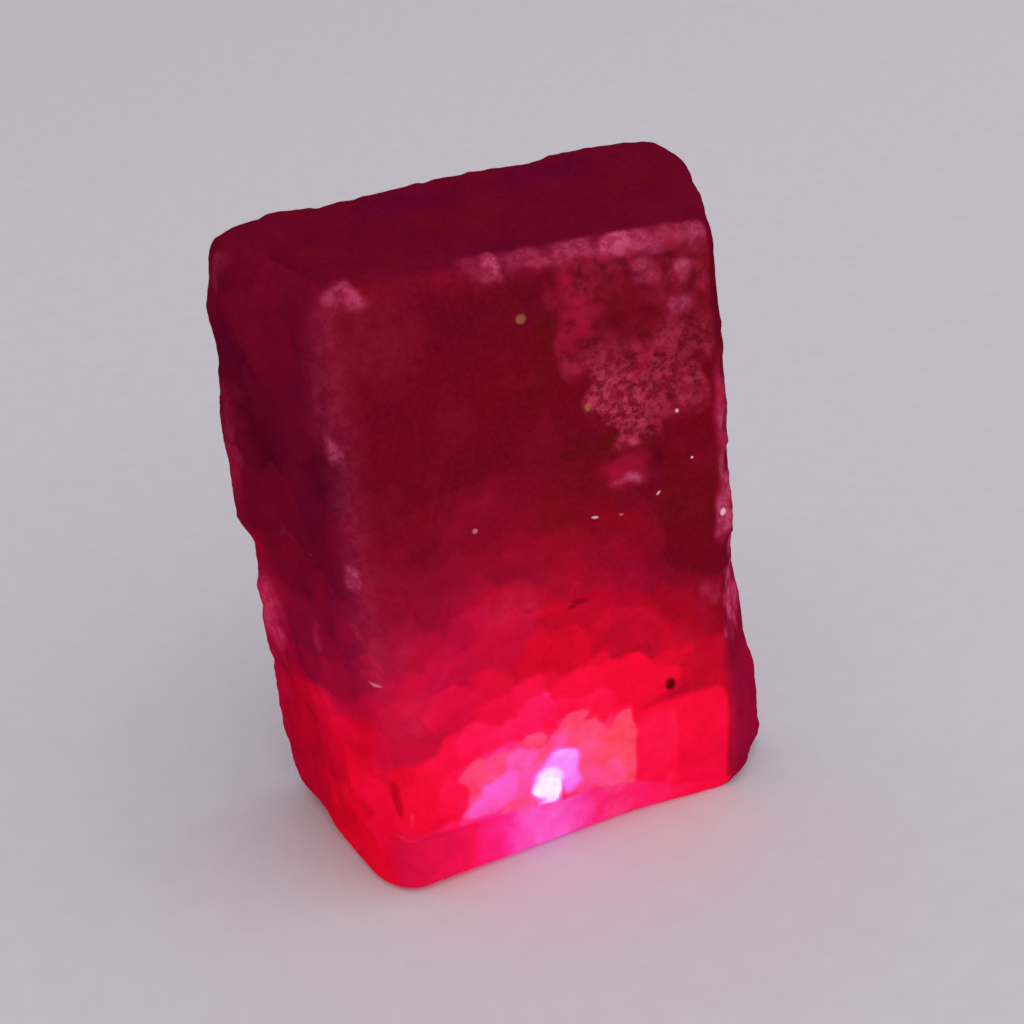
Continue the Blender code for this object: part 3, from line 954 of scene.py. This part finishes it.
# The light's colours from the dark stone to the heart, on the coral side and on the pink side.
CORAL_GLOW = (
    (0.0, BLACK),
    (0.10, added(128, 9, 28)),
    (0.20, added(145, 9, 30)),
    (0.32, added(166, 9, 32)),
    (0.42, added(184, 9, 34)),
    (0.52, added(205, 9, 36)),
    (0.62, added(226, 10, 40)),
    (0.70, added(250, 12, 50)),
    (0.755, added(252, 30, 66)),
    (0.79, added(253, 70, 98)),
    (0.84, added(253, 82, 130)),
    (0.89, added(253, 110, 205)),
    (0.93, added(252, 138, 252)),
    (0.97, added(253, 190, 254)),
    (1.0, added(255, 245, 255)),
)
PINK_GLOW = (
    (0.0, BLACK),
    (0.10, added(128, 12, 36)),
    (0.20, added(145, 13, 43)),
    (0.32, added(166, 14, 50)),
    (0.42, added(184, 15, 56)),
    (0.52, added(204, 15, 60)),
    (0.62, added(226, 17, 66)),
    (0.70, added(251, 20, 82)),
    (0.755, added(253, 32, 122)),
    (0.79, added(253, 48, 154)),
    (0.84, added(254, 84, 188)),
    (0.89, added(253, 100, 228)),
    (0.93, added(252, 138, 252)),
    (0.97, added(253, 190, 254)),
    (1.0, added(255, 245, 255)),
)

# How large the blobs of each pattern in the skin are, in millimetres.
CLOUD_SIZE = 8.0
RUST_SIZE = 5.0
VEIL_SIZE = 3.0
GRIT_SIZE = 0.30
DUST_SIZE = 0.9
BLOTCH_SIZE = 1.7
PIT_SIZE = 1.0
SPECK_SIZE = 0.6
WAVER_SIZE = 1.4
FLAKE_SIZE = 1.5
GRAIN_SIZE = 0.8

# How far the glow wavers from point to point, and from flake to flake.
WAVER_REACH = 0.10
FLAKE_REACH = 0.10

# How strongly the skin's bump shows, and its depth in millimetres.
SKIN_BUMP = 0.3
SKIN_DEPTH = 0.12

RUBY_IOR = 1.76


def ruby_finish():
    """The whole material: colour, roughness, bump and the light inside, painted as emission."""
    ruby = Finish("ruby_stone")
    clouds = ruby.span(ruby.noise(CLOUD_SIZE, 4.0), 0.45, 0.70)
    rust = ruby.span(ruby.noise(RUST_SIZE, 5.0, 0.65), 0.40, 0.70)
    veil = ruby.span(ruby.noise(VEIL_SIZE, 8.0, 0.7), 0.42, 0.75)
    grit = ruby.span(ruby.noise(GRIT_SIZE, 3.0, 0.75), 0.35, 0.70)
    dust = ruby.span(ruby.noise(DUST_SIZE, 6.0, 0.7), 0.38, 0.62)
    blotches = ruby.span(ruby.noise(BLOTCH_SIZE, 5.0, 0.65), 0.40, 0.62, 0.25, 1.0)
    pits = ruby.span(ruby.noise(PIT_SIZE, 4.0, 0.65), 0.36, 0.50, 1.0, 0.0)
    specks = ruby.span(ruby.noise(SPECK_SIZE, 3.0, 0.65), 0.42, 0.64)

    film_and_lit_front = ruby.stored("film_and_lit_front")
    patch = ruby.stored("patch")
    frost = ruby.stored("frost")
    # Painted light and shade: the front is lifted to the lit red, the other sides keep the shaded red.
    colour = ruby.mix(film_and_lit_front, DEEP_IN_SHADE, WINE_IN_LIGHT)
    colour = ruby.mix(ruby.times(clouds, 0.5), colour, PURPLE_TONE_AND_SHEEN)
    # Painted sheen: the purple on the left side and the top.
    colour = ruby.mix(ruby.times(ruby.stored("purple_sheen"), 0.8), colour, PURPLE_TONE_AND_SHEEN)
    colour = ruby.mix(ruby.times(rust, ruby.stored("brown")), colour, BROWN)
    colour = ruby.mix(ruby.times(veil, ruby.span(film_and_lit_front, 0.0, 1.0, 0.15, 0.5)), colour, FILM)
    colour = ruby.mix(ruby.times(grit, ruby.span(film_and_lit_front, 0.0, 1.0, 0.18, 0.32)), colour, FILM)
    colour = ruby.mix(ruby.times(patch, blotches), colour, PATCH)
    colour = ruby.mix(ruby.stored("crimson"), colour, CRIMSON)
    colour = ruby.mix(ruby.times(ruby.times(patch, pits), 0.55), colour, PIT)
    colour = ruby.mix(ruby.times(ruby.times(ruby.stored("crumbs"), specks), 0.9), colour, CRUMB)
    powder = ruby.times(frost, ruby.span(dust, 0.0, 1.0, 0.5, 1.0))
    colour = ruby.mix(powder, colour, BRUISE)
    colour = ruby.mix(ruby.times(powder, powder), colour, FROST)
    # Painted glints: small near-white points on the front.
    colour = ruby.mix(ruby.spots(PAINTED_GLINTS), colour, GLINT_WHITE)
    colour = ruby.mix(ruby.spots(SAND), colour, TAN)
    # Dark specks, and the left side's painted shade, both in the near-black colour.
    dark = ruby.math("MAXIMUM", ruby.spots(DIRT), ruby.stored("shade"))
    colour = ruby.mix(dark, colour, SOOT_AND_SHADE)
    ruby.join(colour, ruby.shader.inputs["Base Color"])

    # Painted light: the glow is the stone's own emission, standing in for strong light through its
    # foot.
    glow = ruby.stored("glow")
    waver = ruby.swing(ruby.noise(WAVER_SIZE, 4.0), WAVER_REACH)
    flakes = ruby.swing(ruby.cells(FLAKE_SIZE), FLAKE_REACH)
    flakes = ruby.times(flakes, ruby.span(glow, 0.55, 0.72, 1.0, 0.0))
    waver = ruby.math("ADD", waver, flakes)
    level = ruby.math("ADD", glow, ruby.times(waver, ruby.span(glow, 0.0, 0.3)))
    coral, rose = ruby.ramp(level, CORAL_GLOW), ruby.ramp(level, PINK_GLOW)
    light = ruby.mix(ruby.stored("pinkness"), coral, rose)
    light = ruby.mix(ruby.times(dark, 0.85), light, BLACK)
    ruby.join(light, ruby.shader.inputs["Emission Color"])
    ruby.shader.inputs["Emission Strength"].default_value = 1.0

    ruby.join(ruby.span(veil, 0.0, 1.0, 0.45, 0.62), ruby.shader.inputs["Roughness"])
    ruby.shader.inputs["IOR"].default_value = RUBY_IOR
    ruby.shader.inputs["Specular IOR Level"].default_value = 0.0
    height = ruby.math("ADD", ruby.noise(GRAIN_SIZE, 5.0, 0.65), ruby.times(grit, 0.25))
    ruby.bump(height, SKIN_BUMP, SKIN_DEPTH)
    return ruby.material


stone_mesh.materials.append(ruby_finish())

# ---------------------------------------------------------------------------------------------
# The room: a plain pale floor, soft light from all round and one large soft lamp, and the camera.
# None of it belongs to the stone.
# ---------------------------------------------------------------------------------------------

# Half the side of the floor in metres.
FLOOR_HALF = 6.0

# The paper's two shades, and its tooth: how strongly it shows, its size and its depth in
# millimetres.
PAPER_DARK = paint(197, 192, 198)
PAPER_LIGHT = paint(205, 200, 206)
TOOTH_BUMP = 0.1
TOOTH_SIZE = 2.0
TOOTH_DEPTH = 0.1


def paper_finish():
    """Pale matt paper with a faint tooth."""
    paper = Finish("pale_paper")
    tooth = paper.noise(TOOTH_SIZE, 4.0)
    paper.join(paper.mix(tooth, PAPER_DARK, PAPER_LIGHT), paper.shader.inputs["Base Color"])
    paper.join(paper.span(tooth, 0.2, 0.8, 0.86, 0.94), paper.shader.inputs["Roughness"])
    paper.shader.inputs["Specular IOR Level"].default_value = 0.15
    paper.bump(tooth, TOOTH_BUMP, TOOTH_DEPTH)
    return paper.material


floor_points = FLOOR_HALF * np.array([[-1, -1, 0], [1, -1, 0], [1, 1, 0], [-1, 1, 0]], float)
floor_mesh = quad_mesh("floor", floor_points, np.array([[0, 1, 2, 3]]))
floor_mesh.materials.append(paper_finish())
floor = bpy.data.objects.new("floor", floor_mesh)
bpy.context.scene.collection.objects.link(floor)

# The soft light from all round.
ROOM_COLOUR = (0.96, 0.95, 1.0, 1.0)
ROOM_LIGHT = 0.64

scene = bpy.context.scene
world = bpy.data.worlds.new("soft_room")
world.use_nodes = True
world.node_tree.nodes["Background"].inputs["Color"].default_value = ROOM_COLOUR
world.node_tree.nodes["Background"].inputs["Strength"].default_value = ROOM_LIGHT
scene.world = world
scene.view_settings.view_transform = "Standard"

# One large square lamp, high in front on the right, that faces the stone: metres and watts.
KEY_PLACE = (0.30, -0.42, 0.75)
KEY_SIDE = 1.1
KEY_WATTS = 4.5

key_light = bpy.data.lights.new("key_lamp", "AREA")
key_light.size = KEY_SIDE
key_light.energy = KEY_WATTS
key_lamp = bpy.data.objects.new("key_lamp", key_light)
scene.collection.objects.link(key_lamp)
key_lamp.location = KEY_PLACE
key_lamp.rotation_euler = (-key_lamp.location).to_track_quat("-Z", "Y").to_euler()

# The camera's lens is 3.31 block heights from the middle of the block, and looks down at it. It
# aims a little to the left of the middle and above it, in shares of the height. Millimetres.
BLOCK_HEIGHT = 42.0
LENS_DISTANCE = 3.31 * BLOCK_HEIGHT
AIM_RIGHT = -0.007
AIM_UP = 0.014
PITCH = np.radians(28.0)
TURN = np.radians(-11.3)
ROLL = np.radians(-5.6)
SENSOR = 36.0
FOCAL_PIXELS = 2200.0
IMAGE_PIXELS = 1024.0

ahead = np.array([-np.sin(TURN) * np.cos(PITCH), np.cos(TURN) * np.cos(PITCH), -np.sin(PITCH)])
level_right = np.array([np.cos(TURN), np.sin(TURN), 0.0])
level_up = np.cross(level_right, ahead)
view_right = np.cos(ROLL) * level_right + np.sin(ROLL) * level_up
view_up = np.cos(ROLL) * level_up - np.sin(ROLL) * level_right
aim = np.array([0.0, 0.0, BLOCK_HEIGHT / 2.0]) - middle
aim += (AIM_RIGHT * view_right + AIM_UP * view_up) * BLOCK_HEIGHT
lens = (aim - ahead * LENS_DISTANCE) * METRES + frame_middle

camera_data = bpy.data.cameras.new("camera")
camera_data.sensor_width = SENSOR
camera_data.lens = SENSOR * FOCAL_PIXELS / IMAGE_PIXELS
camera_data.clip_start = 0.005
camera_data.clip_end = 20.0
camera = bpy.data.objects.new("camera", camera_data)
scene.collection.objects.link(camera)
turn = Matrix((view_right, view_up, -ahead)).transposed().to_4x4()
camera.matrix_world = Matrix.Translation(lens) @ turn
scene.camera = camera
